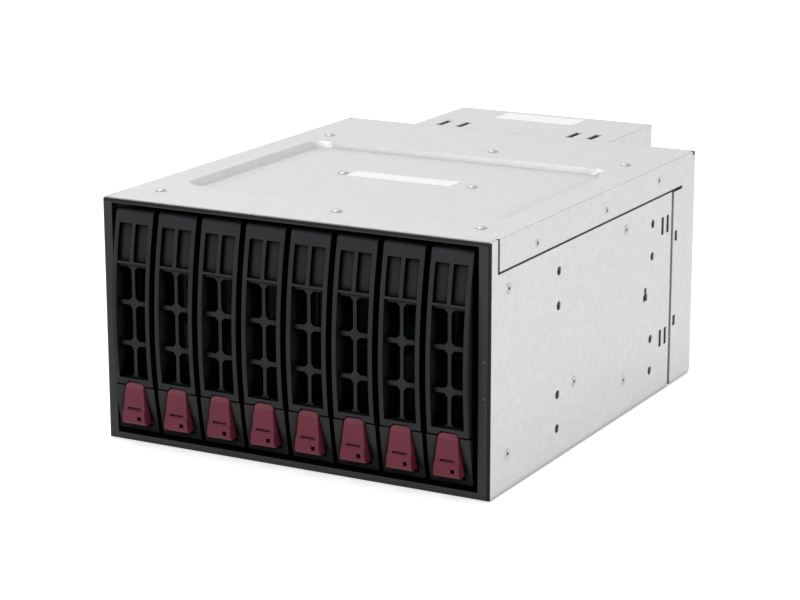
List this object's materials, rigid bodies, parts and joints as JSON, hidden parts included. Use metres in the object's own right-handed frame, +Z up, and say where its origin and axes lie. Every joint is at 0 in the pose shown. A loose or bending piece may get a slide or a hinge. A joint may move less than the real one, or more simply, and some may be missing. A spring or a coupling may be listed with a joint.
{
  "type": "drive cage",
  "caption": "Hot-swap drive cage for two stacked 5.25 inch bays: steel case, upright sliding carriers with hinged levers and press tabs, backplane and rear fan.",
  "frame": {"origin": "under the middle of the whole module, on its underside", "axes": "+X to the right seen from the carriers, +Y from the carriers to the fan, +Z up"},
  "size_m": [0.146, 0.2164, 0.0846],
  "materials": {
    "galvanised_steel": "zinc coated sheet, fine spangle",
    "bezel_plastic": "black moulded plastic, fine grain",
    "lens_plastic": "smoked light pipe",
    "guide_plastic": "black moulded plastic",
    "circuit_board": "green solder resist",
    "socket_plastic": "black glass-filled plastic",
    "port_nylon": "natural nylon",
    "port_shell": "tinned shell",
    "fan_plastic": "black moulded plastic",
    "guard_steel": "bright plated steel",
    "carrier_plastic": "black moulded plastic",
    "lever_plastic": "black moulded plastic, satin",
    "tab_plastic": "maroon moulded plastic",
    "spring_steel": "dark spring steel"
  },
  "bodies": {
    "chassis": {"chassis_tray": "galvanised_steel", "top_cover": "galvanised_steel", "fan_housing": "galvanised_steel", "backplane_channels": "galvanised_steel", "front_bezel": "bezel_plastic", "indicator_lenses": "lens_plastic", "lower_guide": "guide_plastic", "upper_guide": "guide_plastic", "backplane_board": "circuit_board", "drive_sockets": "socket_plastic", "power_ports": "port_nylon", "data_ports": "port_shell", "fan_frame": "fan_plastic", "fan_guard": "guard_steel"},
    "carrier_1": {"carrier_frame_1": "carrier_plastic", "lever_pin_1": "spring_steel", "lever_spring_1": "spring_steel"},
    "lever_arm_1": {"lever_1": "lever_plastic"},
    "tab_1": {"release_tab_1": "tab_plastic"},
    "carrier_2": {"carrier_frame_2": "carrier_plastic", "lever_pin_2": "spring_steel", "lever_spring_2": "spring_steel"},
    "lever_arm_2": {"lever_2": "lever_plastic"},
    "tab_2": {"release_tab_2": "tab_plastic"},
    "carrier_3": {"carrier_frame_3": "carrier_plastic", "lever_pin_3": "spring_steel", "lever_spring_3": "spring_steel"},
    "lever_arm_3": {"lever_3": "lever_plastic"},
    "tab_3": {"release_tab_3": "tab_plastic"},
    "carrier_4": {"carrier_frame_4": "carrier_plastic", "lever_pin_4": "spring_steel", "lever_spring_4": "spring_steel"},
    "lever_arm_4": {"lever_4": "lever_plastic"},
    "tab_4": {"release_tab_4": "tab_plastic"},
    "carrier_5": {"carrier_frame_5": "carrier_plastic", "lever_pin_5": "spring_steel", "lever_spring_5": "spring_steel"},
    "lever_arm_5": {"lever_5": "lever_plastic"},
    "tab_5": {"release_tab_5": "tab_plastic"},
    "carrier_6": {"carrier_frame_6": "carrier_plastic", "lever_pin_6": "spring_steel", "lever_spring_6": "spring_steel"},
    "lever_arm_6": {"lever_6": "lever_plastic"},
    "tab_6": {"release_tab_6": "tab_plastic"},
    "carrier_7": {"carrier_frame_7": "carrier_plastic", "lever_pin_7": "spring_steel", "lever_spring_7": "spring_steel"},
    "lever_arm_7": {"lever_7": "lever_plastic"},
    "tab_7": {"release_tab_7": "tab_plastic"},
    "carrier_8": {"carrier_frame_8": "carrier_plastic", "lever_pin_8": "spring_steel", "lever_spring_8": "spring_steel"},
    "lever_arm_8": {"lever_8": "lever_plastic"},
    "tab_8": {"release_tab_8": "tab_plastic"},
    "fan_rotor": {"fan_impeller": "fan_plastic"}
  },
  "joints": [
    {"name": "carrier_1_slide", "type": "slide", "parent": "chassis", "child": "carrier_1", "axis": [0, -1, 0], "range_m": [0, 0.135]},
    {"name": "lever_1_hinge", "type": "hinge", "parent": "carrier_1", "child": "lever_arm_1", "pos_m": [-0.05985, -0.09975, 0.0772], "axis": [-1, 0, 0], "range_deg": [0, 60]},
    {"name": "tab_1_press", "type": "hinge", "parent": "carrier_1", "child": "tab_1", "pos_m": [-0.05985, -0.10255, 0.0088], "axis": [-1, 0, 0], "range_deg": [0, 6], "stiffness_Nm_per_rad": 0.2, "springref_deg": -2.86},
    {"name": "carrier_2_slide", "type": "slide", "parent": "chassis", "child": "carrier_2", "axis": [0, -1, 0], "range_m": [0, 0.135]},
    {"name": "lever_2_hinge", "type": "hinge", "parent": "carrier_2", "child": "lever_arm_2", "pos_m": [-0.04275, -0.09975, 0.0772], "axis": [-1, 0, 0], "range_deg": [0, 60]},
    {"name": "tab_2_press", "type": "hinge", "parent": "carrier_2", "child": "tab_2", "pos_m": [-0.04275, -0.10255, 0.0088], "axis": [-1, 0, 0], "range_deg": [0, 6], "stiffness_Nm_per_rad": 0.2, "springref_deg": -2.86},
    {"name": "carrier_3_slide", "type": "slide", "parent": "chassis", "child": "carrier_3", "axis": [0, -1, 0], "range_m": [0, 0.135]},
    {"name": "lever_3_hinge", "type": "hinge", "parent": "carrier_3", "child": "lever_arm_3", "pos_m": [-0.02565, -0.09975, 0.0772], "axis": [-1, 0, 0], "range_deg": [0, 60]},
    {"name": "tab_3_press", "type": "hinge", "parent": "carrier_3", "child": "tab_3", "pos_m": [-0.02565, -0.10255, 0.0088], "axis": [-1, 0, 0], "range_deg": [0, 6], "stiffness_Nm_per_rad": 0.2, "springref_deg": -2.86},
    {"name": "carrier_4_slide", "type": "slide", "parent": "chassis", "child": "carrier_4", "axis": [0, -1, 0], "range_m": [0, 0.135]},
    {"name": "lever_4_hinge", "type": "hinge", "parent": "carrier_4", "child": "lever_arm_4", "pos_m": [-0.00855, -0.09975, 0.0772], "axis": [-1, 0, 0], "range_deg": [0, 60]},
    {"name": "tab_4_press", "type": "hinge", "parent": "carrier_4", "child": "tab_4", "pos_m": [-0.00855, -0.10255, 0.0088], "axis": [-1, 0, 0], "range_deg": [0, 6], "stiffness_Nm_per_rad": 0.2, "springref_deg": -2.86},
    {"name": "carrier_5_slide", "type": "slide", "parent": "chassis", "child": "carrier_5", "axis": [0, -1, 0], "range_m": [0, 0.135]},
    {"name": "lever_5_hinge", "type": "hinge", "parent": "carrier_5", "child": "lever_arm_5", "pos_m": [0.00855, -0.09975, 0.0772], "axis": [-1, 0, 0], "range_deg": [0, 60]},
    {"name": "tab_5_press", "type": "hinge", "parent": "carrier_5", "child": "tab_5", "pos_m": [0.00855, -0.10255, 0.0088], "axis": [-1, 0, 0], "range_deg": [0, 6], "stiffness_Nm_per_rad": 0.2, "springref_deg": -2.86},
    {"name": "carrier_6_slide", "type": "slide", "parent": "chassis", "child": "carrier_6", "axis": [0, -1, 0], "range_m": [0, 0.135]},
    {"name": "lever_6_hinge", "type": "hinge", "parent": "carrier_6", "child": "lever_arm_6", "pos_m": [0.02565, -0.09975, 0.0772], "axis": [-1, 0, 0], "range_deg": [0, 60]},
    {"name": "tab_6_press", "type": "hinge", "parent": "carrier_6", "child": "tab_6", "pos_m": [0.02565, -0.10255, 0.0088], "axis": [-1, 0, 0], "range_deg": [0, 6], "stiffness_Nm_per_rad": 0.2, "springref_deg": -2.86},
    {"name": "carrier_7_slide", "type": "slide", "parent": "chassis", "child": "carrier_7", "axis": [0, -1, 0], "range_m": [0, 0.135]},
    {"name": "lever_7_hinge", "type": "hinge", "parent": "carrier_7", "child": "lever_arm_7", "pos_m": [0.04275, -0.09975, 0.0772], "axis": [-1, 0, 0], "range_deg": [0, 60]},
    {"name": "tab_7_press", "type": "hinge", "parent": "carrier_7", "child": "tab_7", "pos_m": [0.04275, -0.10255, 0.0088], "axis": [-1, 0, 0], "range_deg": [0, 6], "stiffness_Nm_per_rad": 0.2, "springref_deg": -2.86},
    {"name": "carrier_8_slide", "type": "slide", "parent": "chassis", "child": "carrier_8", "axis": [0, -1, 0], "range_m": [0, 0.135]},
    {"name": "lever_8_hinge", "type": "hinge", "parent": "carrier_8", "child": "lever_arm_8", "pos_m": [0.05985, -0.09975, 0.0772], "axis": [-1, 0, 0], "range_deg": [0, 60]},
    {"name": "tab_8_press", "type": "hinge", "parent": "carrier_8", "child": "tab_8", "pos_m": [0.05985, -0.10255, 0.0088], "axis": [-1, 0, 0], "range_deg": [0, 6], "stiffness_Nm_per_rad": 0.2, "springref_deg": -2.86},
    {"name": "fan_spin", "type": "hinge", "parent": "chassis", "child": "fan_rotor", "pos_m": [-0.003, 0.08605, 0.0431], "axis": [0, 1, 0], "continuous": true}
  ]
}
